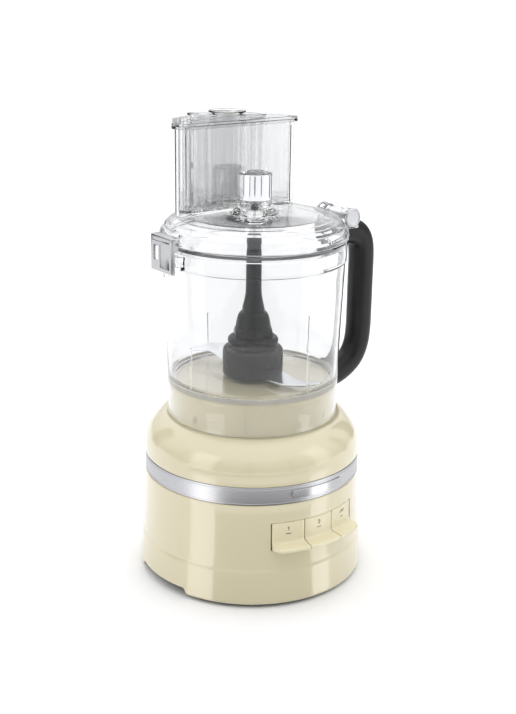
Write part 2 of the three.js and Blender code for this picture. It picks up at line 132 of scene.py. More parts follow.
def turnedAlong(name, profile, origin, direction, steps=48, smoothAngle=32):
    # the same, about any line: profile is (radius, distance along the line)
    piece = turned(name, profile, steps, (0, 0), smoothAngle)
    tilt = Vector((0, 0, 1)).rotation_difference(Vector(direction)).to_matrix().to_4x4()
    centre = Matrix.Translation(toFrame((0, 0, 0)))
    place = Matrix.Translation(toFrame(origin))
    piece.data.transform(place @ tilt @ centre.inverted())
    return piece


def prism(name, outline, bottom, top, smoothAngle=32):
    # a plan outline stood up between two heights
    count = len(outline)
    verts = [(x, y, bottom) for x, y in outline] + [(x, y, top) for x, y in outline]
    faces = [list(range(count))[::-1], list(range(count, 2 * count))]
    faces += [[i, (i + 1) % count, count + (i + 1) % count, count + i] for i in range(count)]
    return newPiece(name, verts, faces, smoothAngle)


def loft(name, rings, smoothAngle=32, closed=False):
    # rings of equal length joined one to the next, with flat ends unless the row of rings closes
    size = len(rings[0])
    verts = [p for ring in rings for p in ring]
    faces = []
    for r in range(len(rings) if closed else len(rings) - 1):
        a, b = r * size, ((r + 1) % len(rings)) * size
        faces += [[a + i, a + (i + 1) % size, b + (i + 1) % size, b + i] for i in range(size)]
    if not closed:
        faces += [list(range(size))[::-1], list(range(len(verts) - size, len(verts)))]
    return newPiece(name, verts, faces, smoothAngle)


def boxPiece(name, low, high, edge=0.0, segments=2):
    (x0, y0, z0), (x1, y1, z1) = low, high
    piece = prism(name, [(x0, y0), (x1, y0), (x1, y1), (x0, y1)], z0, z1)
    return eased(piece, edge, segments) if edge else piece


def applied(piece):
    # the shape with its modifiers becomes the mesh
    depsgraph = bpy.context.evaluated_depsgraph_get()
    depsgraph.update()
    mesh = bpy.data.meshes.new_from_object(piece.evaluated_get(depsgraph))
    old = piece.data
    piece.modifiers.clear()
    piece.data = mesh
    bpy.data.meshes.remove(old)
    mesh.name = piece.name
    return piece


def eased(piece, width, segments=2, angle=35):
    bevel = piece.modifiers.new("eased", "BEVEL")
    bevel.width = width * mm
    bevel.segments = segments
    bevel.limit_method = "ANGLE"
    bevel.angle_limit = math.radians(angle)
    bevel.miter_outer = "MITER_ARC"
    bevel.harden_normals = False
    applied(piece)
    shadeSoft(piece)
    return piece


def worked(piece, tools, how, keepTools=False):
    for tool in tools:
        step = piece.modifiers.new(how, "BOOLEAN")
        step.operation = how
        step.solver = "EXACT"
        step.object = tool
        applied(piece)
    for tool in tools:
        if not keepTools:
            mesh = tool.data
            bpy.data.objects.remove(tool)
            bpy.data.meshes.remove(mesh)
    shadeSoft(piece)
    return piece


def cut(piece, *tools):
    return worked(piece, tools, "DIFFERENCE")


def fused(piece, *tools):
    return worked(piece, tools, "UNION")


def joinedMesh(name, pieces):
    # several shells that never touch kept as one piece
    bm = bmesh.new()
    for p in pieces:
        bm.from_mesh(p.data)
    mesh = bpy.data.meshes.new(name)
    bm.to_mesh(mesh)
    bm.free()
    for p in pieces:
        old = p.data
        bpy.data.objects.remove(p)
        bpy.data.meshes.remove(old)
    piece = bpy.data.objects.new(name, mesh)
    bpy.context.scene.collection.objects.link(piece)
    shadeSoft(piece)
    return piece


def frontPoint(angle, radius, z):
    # angle from the front (-Y) towards the handle (+X), in degrees
    a = math.radians(angle)
    return (radius * math.sin(a), -radius * math.cos(a), z)


def sector(name, fromAngle, toAngle, inner, outer, bottom, top, steps=24):
    angles = [fromAngle + (toAngle - fromAngle) * i / steps for i in range(steps + 1)]
    outline = [frontPoint(a, outer, 0)[:2] for a in angles]
    outline += [frontPoint(a, inner, 0)[:2] for a in reversed(angles)]
    return prism(name, outline, bottom, top)


def finishPiece(piece, body, slot, material, *replaced):
    piece.data.materials.clear()
    piece.data.materials.append(material)
    if slot == "clear":
        piece.visible_shadow = False  # light falls straight through the clear walls
    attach(piece, body)
    if replaced:
        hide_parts(*replaced)
    return piece


# ------- materials

def newMaterial(name):
    material = bpy.data.materials.new(name)
    material.use_nodes = True
    tree = material.node_tree
    shader = next(n for n in tree.nodes if n.type == "BSDF_PRINCIPLED")
    return material, tree, shader


def frameCoords(tree, stretch=(1, 1, 1)):
    coords = tree.nodes.new("ShaderNodeTexCoord")
    mapping = tree.nodes.new("ShaderNodeMapping")
    mapping.inputs["Scale"].default_value = stretch
    tree.links.new(coords.outputs["Object"], mapping.inputs["Vector"])
    return mapping.outputs["Vector"]


def noise(tree, scale, detail=3.0, roughness=0.5, stretch=(1, 1, 1)):
    node = tree.nodes.new("ShaderNodeTexNoise")
    node.inputs["Scale"].default_value = scale
    node.inputs["Detail"].default_value = detail
    node.inputs["Roughness"].default_value = roughness
    tree.links.new(frameCoords(tree, stretch), node.inputs["Vector"])
    return node.outputs["Fac"]


def spread(tree, source, low, high, fromLow=0.3, fromHigh=0.7):
    node = tree.nodes.new("ShaderNodeMapRange")
    node.inputs["From Min"].default_value = fromLow
    node.inputs["From Max"].default_value = fromHigh
    node.inputs["To Min"].default_value = low
    node.inputs["To Max"].default_value = high
    tree.links.new(source, node.inputs["Value"])
    return node.outputs["Result"]


def twoColors(tree, source, colorA, colorB):
    node = tree.nodes.new("ShaderNodeMix")
    node.data_type = "RGBA"
    node.inputs["A"].default_value = (*colorA, 1)
    node.inputs["B"].default_value = (*colorB, 1)
    tree.links.new(source, node.inputs["Factor"])
    return node.outputs["Result"]


def bump(tree, shader, source, strength, distance):
    node = tree.nodes.new("ShaderNodeBump")
    node.inputs["Strength"].default_value = strength
    node.inputs["Distance"].default_value = distance
    tree.links.new(source, node.inputs["Height"])
    tree.links.new(node.outputs["Normal"], shader.inputs["Normal"])
    return node


def cornerShade(tree, width):
    # how close a point is to an edge, from the pointiness of the mesh
    geometry = tree.nodes.new("ShaderNodeNewGeometry")
    return spread(tree, geometry.outputs["Pointiness"], 0, 1, 0.5, 0.5 + width)


def glossEnamel():
    look = {
        "color": (0.70, 0.635, 0.43),
        "deeper": (0.697, 0.632, 0.427),
        "rubbed": (0.715, 0.65, 0.447),
        "roughness": (0.275, 0.285),
        "coat": 1.0,
        "coatRoughness": 0.035,
        "orangePeel": 0.03,
    }
    material, tree, shader = newMaterial("creamEnamel")
    cloudy = spread(tree, noise(tree, 14, 3), 0, 1)
    body = twoColors(tree, cloudy, look["color"], look["deeper"])
    worn = tree.nodes.new("ShaderNodeMix")
    worn.data_type = "RGBA"
    worn.inputs["B"].default_value = (*look["rubbed"], 1)
    tree.links.new(cornerShade(tree, 0.12), worn.inputs["Factor"])
    tree.links.new(body, worn.inputs["A"])
    tree.links.new(worn.outputs["Result"], shader.inputs["Base Color"])
    tree.links.new(spread(tree, noise(tree, 55, 5), *look["roughness"]), shader.inputs["Roughness"])
    shader.inputs["Coat Weight"].default_value = look["coat"]
    shader.inputs["Coat Roughness"].default_value = look["coatRoughness"]
    bump(tree, shader, noise(tree, 420, 2), look["orangePeel"], 0.0002)
    return material


def satinEnamel():
    look = {
        "color": (0.78, 0.71, 0.49),
        "deeper": (0.773, 0.702, 0.481),
        "roughness": (0.3, 0.4),
        "grain": 0.05,
    }
    material, tree, shader = newMaterial("creamSatin")
    cloudy = spread(tree, noise(tree, 60, 3), 0, 1)
    tree.links.new(twoColors(tree, cloudy, look["color"], look["deeper"]), shader.inputs["Base Color"])
    tree.links.new(spread(tree, noise(tree, 180, 4), *look["roughness"]), shader.inputs["Roughness"])
    shader.inputs["Coat Weight"].default_value = 0.25
    shader.inputs["Coat Roughness"].default_value = 0.12
    bump(tree, shader, noise(tree, 1600, 2), look["grain"], 0.0001)
    return material


def clearPlastic(name, tint, roughness, ripple):
    material, tree, shader = newMaterial(name)
    shader.inputs["Base Color"].default_value = (*tint, 1)
    shader.inputs["Transmission Weight"].default_value = 1
    shader.inputs["IOR"].default_value = 1.47
    shader.inputs["Specular IOR Level"].default_value = 0.2
    scuffs = noise(tree, 220, 6, 0.65, (1, 1, 0.25))
    tree.links.new(spread(tree, scuffs, *roughness, 0.45, 0.8), shader.inputs["Roughness"])
    bump(tree, shader, noise(tree, 26, 1), ripple, 0.0004)
    return material


def blackPlastic(name, color, roughness, grain, scale, specular=0.5):
    material, tree, shader = newMaterial(name)
    shader.inputs["Specular IOR Level"].default_value = specular
    patchy = spread(tree, noise(tree, 40, 4), 0, 1)
    lighter = tuple(c * 1.5 + 0.002 for c in color)
    tree.links.new(twoColors(tree, patchy, color, lighter), shader.inputs["Base Color"])
    tree.links.new(spread(tree, noise(tree, 150, 4), *roughness), shader.inputs["Roughness"])
    bump(tree, shader, noise(tree, scale, 3, 0.6), grain, 0.00012)
    return material


def metal(name, color, roughness, lines=None, lineStrength=0.1, anisotropic=0.0):
    # lines stretches the brushing: small along the grain, large across it
    material, tree, shader = newMaterial(name)
    shader.inputs["Metallic"].default_value = 1
    shader.inputs["Anisotropic"].default_value = anisotropic
    darker = tuple(c * 0.93 for c in color)
    if lines:
        strokes = noise(tree, 1, 6, 0.7, lines)
    else:
        strokes = noise(tree, 90, 4)
    factor = spread(tree, strokes, 0, 1)
    tree.links.new(twoColors(tree, factor, color, darker), shader.inputs["Base Color"])
    tree.links.new(spread(tree, strokes, *roughness), shader.inputs["Roughness"])
    bump(tree, shader, strokes, lineStrength, 0.00008)
    return material


# pale plastic for the bowl's lock marks, and painted light for the pale ring at the bowl floor's edge
def makePaleMarksAndPaintedLight():
    material, tree, shader = newMaterial("paleMarksAndPaintedLight")
    cloudy = spread(tree, noise(tree, 70, 4), 0, 1)
    tree.links.new(twoColors(tree, cloudy, (0.5, 0.485, 0.43), (0.58, 0.565, 0.5)),
                   shader.inputs["Base Color"])
    tree.links.new(spread(tree, noise(tree, 240, 3), 0.35, 0.55), shader.inputs["Roughness"])
    bump(tree, shader, noise(tree, 500, 2), 0.1, 0.0001)
    return material


def printedInk():
    material, tree, shader = newMaterial("printedInk")
    speckle = spread(tree, noise(tree, 2400, 2), 0, 1)
    tree.links.new(twoColors(tree, speckle, (0.03, 0.029, 0.027), (0.05, 0.048, 0.044)),
                   shader.inputs["Base Color"])
    shader.inputs["Roughness"].default_value = 0.45
    return material


def copperWindings():
    material, tree, shader = newMaterial("copperWindings")
    wave = tree.nodes.new("ShaderNodeTexWave")
    wave.bands_direction = "Z"
    wave.inputs["Scale"].default_value = 380
    wave.inputs["Distortion"].default_value = 1.2
    tree.links.new(frameCoords(tree), wave.inputs["Vector"])
    strands = wave.outputs["Fac"]
    tree.links.new(twoColors(tree, strands, (0.32, 0.11, 0.045), (0.62, 0.27, 0.12)),
                   shader.inputs["Base Color"])
    shader.inputs["Metallic"].default_value = 0.9
    tree.links.new(spread(tree, strands, 0.45, 0.28, 0, 1), shader.inputs["Roughness"])
    bump(tree, shader, strands, 0.5, 0.0004)
    return material


def circuitBoard():
    material, tree, shader = newMaterial("circuitBoard")
    cells = tree.nodes.new("ShaderNodeTexVoronoi")
    cells.distance = "MANHATTAN"
    cells.inputs["Scale"].default_value = 160
    tree.links.new(frameCoords(tree), cells.inputs["Vector"])
    traces = spread(tree, cells.outputs["Distance"], 0, 1, 0.42, 0.46)
    tree.links.new(twoColors(tree, traces, (0.02, 0.1, 0.035), (0.05, 0.2, 0.08)),
                   shader.inputs["Base Color"])
    shader.inputs["Roughness"].default_value = 0.35
    bump(tree, shader, traces, 0.2, 0.0001)
    return material


cream = glossEnamel()
creamSatin = satinEnamel()
bowlClear = clearPlastic("bowlClear", (0.91, 0.912, 0.912), (0.0, 0.05), 0.02)
lidClear = clearPlastic("lidClear", (0.9, 0.902, 0.902), (0.0, 0.05), 0.03)
pusherClear = clearPlastic("pusherClear", (0.9, 0.902, 0.902), (0.0, 0.04), 0.03)
gripBlack = blackPlastic("gripBlack", (0.006, 0.006, 0.0065), (0.3, 0.4), 0.02, 110, 0.3)
hubBlack = blackPlastic("hubBlack", (0.006, 0.006, 0.006), (0.26, 0.34), 0.015, 90, 0.3)
darkPlastic = blackPlastic("darkPlastic", (0.022, 0.022, 0.024), (0.5, 0.65), 0.15, 800)
footRubber = blackPlastic("footRubber", (0.013, 0.013, 0.013), (0.7, 0.85), 0.3, 600)
sealGrey = blackPlastic("sealGrey", (0.07, 0.075, 0.08), (0.5, 0.6), 0.08, 500)
chrome = metal("chrome", (0.84, 0.85, 0.87), (0.04, 0.09), None, 0.01)
brushedBand = metal("brushedBand", (0.52, 0.52, 0.535), (0.25, 0.38), (2.5, 2.5, 2600), 0.16, 0.45)
satinMetal = metal("satinMetal", (0.55, 0.555, 0.57), (0.2, 0.32), (30, 900, 30), 0.06)
bladeSteel = metal("bladeSteel", (0.72, 0.73, 0.75), (0.14, 0.26), (60, 1500, 60), 0.05)
plainSteel = metal("plainSteel", (0.55, 0.56, 0.58), (0.28, 0.42), (300, 300, 12), 0.06)
capMetal = metal("capMetal", (0.5, 0.503, 0.51), (0.16, 0.24), (600, 30, 600), 0.04)
latchSilver = metal("latchSilver", (0.5, 0.503, 0.51), (0.18, 0.28), (30, 900, 30), 0.05)
ink = printedInk()
paleMarksAndPaintedLight = makePaleMarksAndPaintedLight()
copper = copperWindings()
boardGreen = circuitBoard()

print("food processor: materials made")


# ------- motor base

def makeBase():
    shape = {
        "outer": [
            (107.2, 3.0, 1.0), (109.2, 4.2, 1.0), (110, 6.6, 1.0), (109.8, 10), (109.3, 16),
            (108.9, 22), (108.45, 29), (108.15, 33), (107.95, 35.6, 1.2), (106.95, 38.2, 1.5),
            (106.6, 41), (106.3, 46), (106.0, 54), (105.7, 62), (105.4, 70), (105.1, 78), (104.9, 86),
            (104.6, 94), (104.35, 100.6, 0.6), (103.9, 101.6, 0.3),
        ],
        "collar": [(101, 101.6), (101, 110), (98, 110), (98, 100)],
        "inner": [(101.8, 84), (102.6, 52), (103.6, 39), (105.4, 30), (106.2, 8), (105.9, 3.0)],
        "gripHalf": (37, 33.4),
        "gripTop": 10.4,
        "panel": (27.1, 56.8, 84.4),  # half angle, lowest and highest edge of the control opening
    }
    shell = turned("base_shell", shape["outer"] + shape["collar"] + shape["inner"], 224)
    wide, narrow = shape["gripHalf"]
    grips = []
    for side in (-1, 1):
        outline = rounded([(-wide - 4, -4), (-narrow - 1, shape["gripTop"], 3),
                           (narrow + 1, shape["gripTop"], 3),
                           (wide + 4, -4)], True, 5)
        rings = [[(x, y, z) for y, z in outline] for x in (side * 80, side * 130)]
        grips.append(loft(f"grip_{side}", rings))
    half, low, top = shape["panel"]
    window = eased(sector("panel_window", -half, half, 90, 130, low, top, 40), 1.6, 3, 50)
    cordHole = turnedAlong("cord_hole", [(0, 80), (8.4, 80), (8.4, 130), (0, 130)], (0, 0, 36), (0, 1, 0))
    cut(shell, *grips, window, cordHole)
    finishPiece(shell, "base", "cream", cream, "base_housing")


def makeShoulder():
    shape = {
        "outer": [
            (103.7, 119.6, 0.2), (104.3, 120.4, 0.5), (104.45, 123), (104.4, 126), (104.2, 129.2),
            (103.8, 132.4), (103.1, 135.7), (102.1, 138.9), (100.7, 142.0), (98.9, 145.0),
            (96.6, 148.0), (94.0, 150.8), (91.4, 153.2), (89.0, 155.2), (86.8, 156.6), (84.8, 157.5),
            (83.2, 157.9, 0.5), (81.6, 157.4, 0.6), (78.4, 157.2, 0.8),
        ],
        "post": [(77.9, 160), (77.75, 186.4, 1.6), (76, 189.4, 1.6), (26, 189.4, 1), (24, 187.9, 1),
                 (14, 187.9, 1),
                 (12, 187.2, 0.5)],
        "inner": [(12, 186.2), (74.6, 186.2), (75, 156.6), (76, 155), (86.4, 153.2), (94.4, 146),
                  (99.8, 136),
                  (101.2, 129), (101.2, 124), (98, 124), (98, 110.6), (100.8, 110.6), (100.8, 119.6)],
    }
    cap = turned("shoulder_shell", shape["outer"] + shape["post"] + shape["inner"], 224)
    lugs = []
    for k in range(4):  # the ramps that lock the bowl's skirt
        a = 20 + 90 * k
        lugs.append(sector(f"ramp_{k}", a, a + 14, 76, 78.15, 166, 170, 8))
    fused(cap, *lugs)
    finishPiece(cap, "base", "cream", cream, "shoulder_cap")


def makeBand():
    shape = {"radius": 104.1, "bottom": 101.95, "top": 119.25, "edge": 0.5}
    r, low, top, edge = shape["radius"], shape["bottom"], shape["top"], shape["edge"]
    profile = [
        (101.35, low), (r - 0.3, low, 0.2), (r, low + edge, 0.3), (r, low + 1.5),
        (r - 0.25, low + 1.75), (r - 0.25, low + 2.1), (r, low + 2.35), (r, top - 2.35),
        (r - 0.25, top - 2.1), (r - 0.25, top - 1.75), (r, top - 1.5), (r, top - edge, 0.3),
        (r - 0.3, top, 0.2), (101.35, top),
    ]
    band = turned("metal_band", profile, 224)
    finishPiece(band, "base", "brushed", brushedBand, "trim_band")

    plate = {"halfAngle": 16.6, "bottom": 106.4, "top": 114.8, "inner": 104.25, "outer": 105.15}
    steps = 40
    rings = []
    for i in range(steps + 1):  # the ends are round in elevation
        t = 2 * i / steps - 1
        angle = plate["halfAngle"] * t
        arc = math.radians(plate["halfAngle"]) * plate["outer"]
        fromEnd = (1 - abs(t)) * arc
        halfHeight = (plate["top"] - plate["bottom"]) / 2
        reach = halfHeight
        curve = max(0.0, 1 - (1 - fromEnd / reach) ** 2)
        h = halfHeight if fromEnd > reach else math.sqrt(curve) * halfHeight
        h = max(h, 0.4)
        middle = (plate["top"] + plate["bottom"]) / 2
        soft = 0.35
        section = [
            (plate["inner"], middle - h), (plate["outer"] - soft, middle - h),
            (plate["outer"], middle - h + soft),
            (plate["outer"], middle + h - soft), (plate["outer"] - soft, middle + h),
            (plate["inner"], middle + h),
        ]
        rings.append([frontPoint(angle, r, z) for r, z in section])
    badge = loft("blank_badge", rings, 40)
    finishPiece(badge, "base", "chrome", capMetal, "name_plate")


def makeUnderside():
    cover = turned("bottom_plate", [(0, 2.75), (104.6, 2.75, 0.4), (105.1, 3.4, 0.4), (105.1, 5.7),
                                    (0, 5.7)], 160)
    tools = []
    for side in (-1, 1):  # cleared where fingers reach under the rim
        near, far = sorted((side * 97, side * 110))
        tools.append(boxPiece(f"finger_room_{side}", (near, -38, 0), (far, 38, 10)))
    for ring, count in ((54, 10), (38, 8)):
        for k in range(count):
            a = 360 * k / count
            tools.append(sector(f"vent_{ring}_{k}", a, a + 360 / count * 0.55,
                                ring - 2, ring + 2, 0, 12, 6))
    for k in range(4):
        x, y, _ = frontPoint(126 + 90 * k, 98.6, 0)
        tools.append(turned(f"screw_hole_{k}", [(0, 0), (4.4, 0), (4.4, 3.4), (2.2, 4.2), (2.2, 10),
                                                (0, 10)], 24, (x, y)))
    cut(cover, *tools)
    finishPiece(cover, "base", "dark_plastic", darkPlastic, "bottom_cover")
    for k in range(4):
        low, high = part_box(f"foot_{k + 1}")
        x, y = ((low + high) / 2 - spindle).xy / mm
        profile = [(0, 0.5), (5.4, 0.5), (5.8, 0, 0.2), (7.9, 0, 0.3), (9, 0.9, 0.3), (9, 2.3), (0, 2.3)]
        foot = turned(f"rubber_foot_{k + 1}", profile, 48, (x, y))
        finishPiece(foot, "base", "rubber", footRubber, f"foot_{k + 1}")


makeBase()
makeShoulder()
makeBand()
makeUnderside()
print("food processor: base done")


# ------- press controls

controls = {
    "pitch": 17.8,  # degrees from one paddle to the next
    "gap": 0.9,  # between neighbours
    "inner": 101.2,
    "face": 105.08,  # radius that the printed marks sit on
    "names": ["low", "high", "pulse"],
}


def makePaddle(index):
    middle = index * controls["pitch"]
    half = controls["pitch"] / 2 - math.degrees(controls["gap"] / 2 / 105)
    section = rounded([
        (controls["inner"], 59.4), (103, 58.6, 0.6), (107, 58.35, 1.2), (114, 58.5, 1), (117.0, 58.9, 1.0),
        (117.95, 59.9, 0.7), (117.95, 61.4, 0.7), (117.1, 62.5, 0.7), (112, 62.9, 2), (107.4, 63.5, 1.6),
        (105.6, 65.2, 1.4), (105.15, 68, 2), (105.02, 76), (104.95, 83.0, 0.7), (104.2, 83.9, 0.5),
        (controls["inner"], 83.9),
    ], True, 4)
    steps = 28
    rings = []
    for i in range(steps + 1):
        t = 2 * i / steps - 1
        angle = middle + half * t
        ring = []
        for r, z in section:
            reach = r
            end = (1 - abs(t)) * math.radians(half) * 105  # millimetres to the nearest end
            if r > 106:
                outerEnd = (index == -1 and t < 0) or (index == 1 and t > 0)
                slant = 7.5 if outerEnd else 0.0
                if slant and end < slant:  # the end ledges are cut back at a slant
                    reach = 106 + (r - 106) * (0.32 + 0.68 * math.sin(math.pi / 2 * end / slant))
            if end < 0.55:
                reach -= 0.3 * (1 - end / 0.55)
            ring.append(frontPoint(angle, reach, z))
        rings.append(ring)
    name = controls["names"][index + 1]
    paddle = loft(f"control_{name}", rings, 34)
    finishPiece(paddle, f"{name}_paddle", "cream", creamSatin, f"paddle_{name}")
    return middle


def wrappedStroke(middle, points, width, radius):
    # a line of constant width drawn on the curved face: points are (across, height) in millimetres
    outline = []
    for side in (1, -1):
        row = []
        for i, p in enumerate(points):
            a = Vector(points[max(0, i - 1)])
            b = Vector(points[min(len(points) - 1, i + 1)])
            along = (b - a).normalized()
            normal = Vector((-along.y, along.x)) * width / 2 * side
            row.append(Vector(p) + normal)
        outline += row if side == 1 else row[::-1]
    verts = []
    sunk, raised = 0.25, 0.14
    for depth in (radius - sunk, radius + raised):
        verts += [frontPoint(middle + math.degrees(p.x / radius), depth, p.y) for p in outline]
    count = len(outline)
    half = count // 2
    faces = []
    for i in range(half - 1):  # quads between the two sides, on both depths
        a, b, c, d = i, i + 1, count - 2 - i, count - 1 - i
        faces.append([a, b, c, d])
        faces.append([count + d, count + c, count + b, count + a])
    faces += [[i, (i + 1) % count, count + (i + 1) % count, count + i] for i in range(count)]
    return verts, faces


def makeSymbols(index, middle):
    glyphs = {
        -1: [[(-0.9, 78.6), (0.1, 79.4), (0.1, 75.9)]],
        0: [[(-1.1, 78.6), (-0.7, 79.2), (0, 79.45), (0.8, 79.2), (1.0, 78.5), (0.6, 77.8), (-1.1, 76.1),
             (1.1, 76.1)]],
        1: [[(-3.4, 77.4), (-1.6, 77.4), (-1.6, 79.2), (0.2, 79.2), (0.2, 77.4), (2.0, 77.4), (2.0, 79.2),
             (3.6, 79.2)]],
    }
    dashes = {-1: 5.2, 0: 5.2, 1: 3.0}
    strokes = [(line, 0.55) for line in glyphs[index]]
    half = dashes[index] / 2
    strokes.append(([(-half, 72.6), (half, 72.6)], 0.6))
    parts = []
    for k, (line, width) in enumerate(strokes):
        verts, faces = wrappedStroke(middle, line, width, controls["face"])
        parts.append(newPiece(f"stroke_{k}", verts, faces))
    name = controls["names"][index + 1]
    mark = joinedMesh(f"mark_{name}", parts)
    finishPiece(mark, f"{name}_paddle", "dark_plastic", ink)


for index in (-1, 0, 1):
    makeSymbols(index, makePaddle(index))


def makePanelGapShade():
    # a dark sheet behind the paddles, painted shade, so the gaps between them read as gaps
    half = 26.9
    gapShade = sector("panel_gap_shade", -half, half, 98.3, 99.2, 57.4, 84.0, 40)
    finishPiece(gapShade, "base", "dark_plastic", darkPlastic)


makePanelGapShade()
print("food processor: controls done")


# ------- work bowl

bowl = {
    "wall": 2.6,
    "outer": [(81.1, 158.4, 0.5), (81.5, 175), (81.8, 193), (82.1, 210), (82.5, 228), (83.0, 243),
              (83.5, 257), (83.9, 268), (84.2, 276), (84.6, 286), (84.95, 294), (85.2, 307.6, 0.3),
              (86.35, 308.6, 0.3),
              (86.55, 313), (86.8, 320), (86.9, 327.6, 0.5), (86.3, 329, 0.5)],
    "rimInner": [(85.0, 329, 0.5), (84.4, 327.8, 0.4), (84.3, 315)],
}

hinge = {"x": 102, "z": 338, "half": 20, "pinRoom": 3.4}  # the lid turns about this line, along Y


def makeBowl():
    wall = bowl["wall"]
    inner = [(84.1, 311.5, 1.5), (85.2 - wall, 307.4, 1.0), (84.2 - wall, 276), (83.5 - wall, 257),
             (82.5 - wall, 228), (81.8 - wall, 205), (81.6 - wall, 199.5, 3.0), (77.0, 194.0, 4.0),
             (70, 193.2), (20, 193.2, 1), (12.55, 193.8, 1.2), (12.3, 219), (11.6, 221, 0.6),
             (9.6, 221, 0.4), (9.55, 190), (70, 190),
             (78.3, 190, 0.4), (78.55, 158.4, 0.3)]
    body = turned("bowl_body", bowl["outer"] + bowl["rimInner"] + inner, 224, smoothAngle=28)
    ribs = []
    for k in range(4):  # stand-off ribs on the inside wall
        angle = (-82, 2, 98, 178)[k]
        ribs.append(sector(f"rib_{k}", angle - 0.55, angle + 0.55, 78.2, 80.6, 192.6, 236, 2))
    catch = boxPiece("catch", (-93.2, -12, 318), (-84.9, 12, 322), 0.6)
    web = boxPiece("catch_web", (-90, -11.4, 309.5), (-85, 11.4, 318.6), 0.5)
    fused(body, *ribs, catch, web)
    finishPiece(body, "bowl", "clear", bowlClear, "work_bowl")

    # a pale opaque ring inside the clear wall where the floor meets it: painted light, standing in for the
    # pale glow the clear plastic shows at that edge
    ring = turned("floor_edge_painted_light", [(79.1, 190.5, 0.3), (81.2, 190.5, 0.3), (81.3, 194.6, 0.6),
                                 (80.2, 195.6, 0.5),
                                 (79.3, 194.4, 0.4)], 160)
    finishPiece(ring, "bowl", "clear", paleMarksAndPaintedLight)

    marks = []
    for angle, low, top, width in ((-41.8, 160.5, 187.5, 0.5), (-79, 164, 170, 1.6), (-4.3, 164, 170, 1.6)):
        radius = 81.45
        degrees = math.degrees(width / 2 / radius)
        marks.append(sector(f"lock_mark_{angle}", angle - degrees, angle + degrees,
                            radius - 0.2, radius + 0.1,
                            low, top, 2))
    finishPiece(joinedMesh("lock_marks", marks), "bowl", "silicone", paleMarksAndPaintedLight)


def smoothPath(points, count):
    # an even run of points along a centripetal Catmull-Rom curve
    pts = [Vector(p) for p in points]
    pts = [2 * pts[0] - pts[1]] + pts + [2 * pts[-1] - pts[-2]]
    dense = []
    for i in range(1, len(pts) - 2):
        p0, p1, p2, p3 = pts[i - 1:i + 3]
        for k in range(16):
            t = k / 16
            dense.append(0.5 * ((2 * p1) + (p2 - p0) * t + (2 * p0 - 5 * p1 + 4 * p2 - p3) * t * t
                                + (3 * p1 - p0 - 3 * p2 + p3) * t ** 3))
    dense.append(pts[-2])
    lengths = [0.0]
    for a, b in zip(dense, dense[1:]):
        lengths.append(lengths[-1] + (b - a).length)
    made, j = [], 0
    for i in range(count):
        want = lengths[-1] * i / (count - 1)
        while j < len(lengths) - 2 and lengths[j + 1] < want:
            j += 1
        t = (want - lengths[j]) / max(1e-9, lengths[j + 1] - lengths[j])
        made.append(dense[j].lerp(dense[j + 1], min(1, max(0, t))))
    return made


def makeHandle():
    shape = {
        "centre": 135.0,
        "path": [(-49, 318), (-34, 320.2), (-20, 320.6), (-8.6, 317.2), (-2, 307.6), (0, 294), (0, 270),
                 (0, 240),
                 (-0.4, 217), (-3, 200.6), (-10, 187.8), (-22, 179.2), (-37, 173.8), (-56, 171.4)],
        "wide": 11.4, "thick": 12.55,
        "steps": 90, "around": 40,
    }
    line = smoothPath([(shape["centre"] + x, 0, z) for x, z in shape["path"]], shape["steps"])
    rings = []
    for i, p in enumerate(line):
        along = (line[min(i + 1, len(line) - 1)] - line[max(i - 1, 0)]).normalized()
        across = Vector((0, 1, 0))
        outward = along.cross(across).normalized()
        ring = []
        for k in range(shape["around"]):
            a = 2 * math.pi * k / shape["around"]
            c, s = math.cos(a), math.sin(a)
            squared = (abs(c) ** 2.4 + abs(s) ** 2.4) ** (-1 / 2.4)  # a rounded square section
            ring.append(p + (across * shape["wide"] * s + outward * shape["thick"] * c) * squared)
        rings.append(ring)
    grip = loft("grip_handle", rings, 40)
    keepOff = turned("keep_off", [(0, 140), (81.4, 140), (82.1, 193), (82.8, 228), (85.2, 292), (85.5, 306),
                                  (86.9, 308), (87.3, 330), (87.3, 345), (0, 345)], 160)
    knuckle = turnedAlong("knuckle_room", [(0, -24), (10.2, -24), (10.2, 24), (0, 24)],
                          (hinge["x"], 0, hinge["z"]), (0, 1, 0))
    saddleRoom = boxPiece("saddle_room", (86, -22, 326.5), (116, 22, 345))
    cut(grip, keepOff, knuckle, saddleRoom)
    finishPiece(grip, "bowl", "black", gripBlack, "handle_grip")


